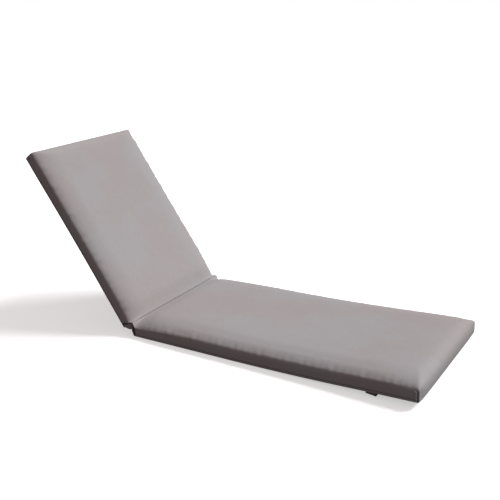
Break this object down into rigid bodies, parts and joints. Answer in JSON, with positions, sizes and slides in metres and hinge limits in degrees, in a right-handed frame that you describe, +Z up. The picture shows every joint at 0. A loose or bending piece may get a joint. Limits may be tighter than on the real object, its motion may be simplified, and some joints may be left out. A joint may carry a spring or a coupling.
{
  "type": "sun lounger cushion",
  "caption": "Long padded cushion for a sun lounger, with a raised back section hinged at a sewn fold and a webbing strap under the foot end.",
  "frame": {"origin": "middle of the bounding box on the surface the cushion rests on", "axes": "+Z up, +X from the fold along the seat to the foot end, +Y across the width"},
  "size_m": [1.6968, 0.5998, 0.7163],
  "materials": {
    "cover_cloth": "matt woven polyester, warm grey",
    "strap_webbing": "matt ribbed webbing, dark grey"
  },
  "bodies": {
    "root": {"back_pad": "cover_cloth", "seat_pad": "cover_cloth", "fold_seam": "cover_cloth", "foot_strap": "strap_webbing"}
  },
  "joints": []
}
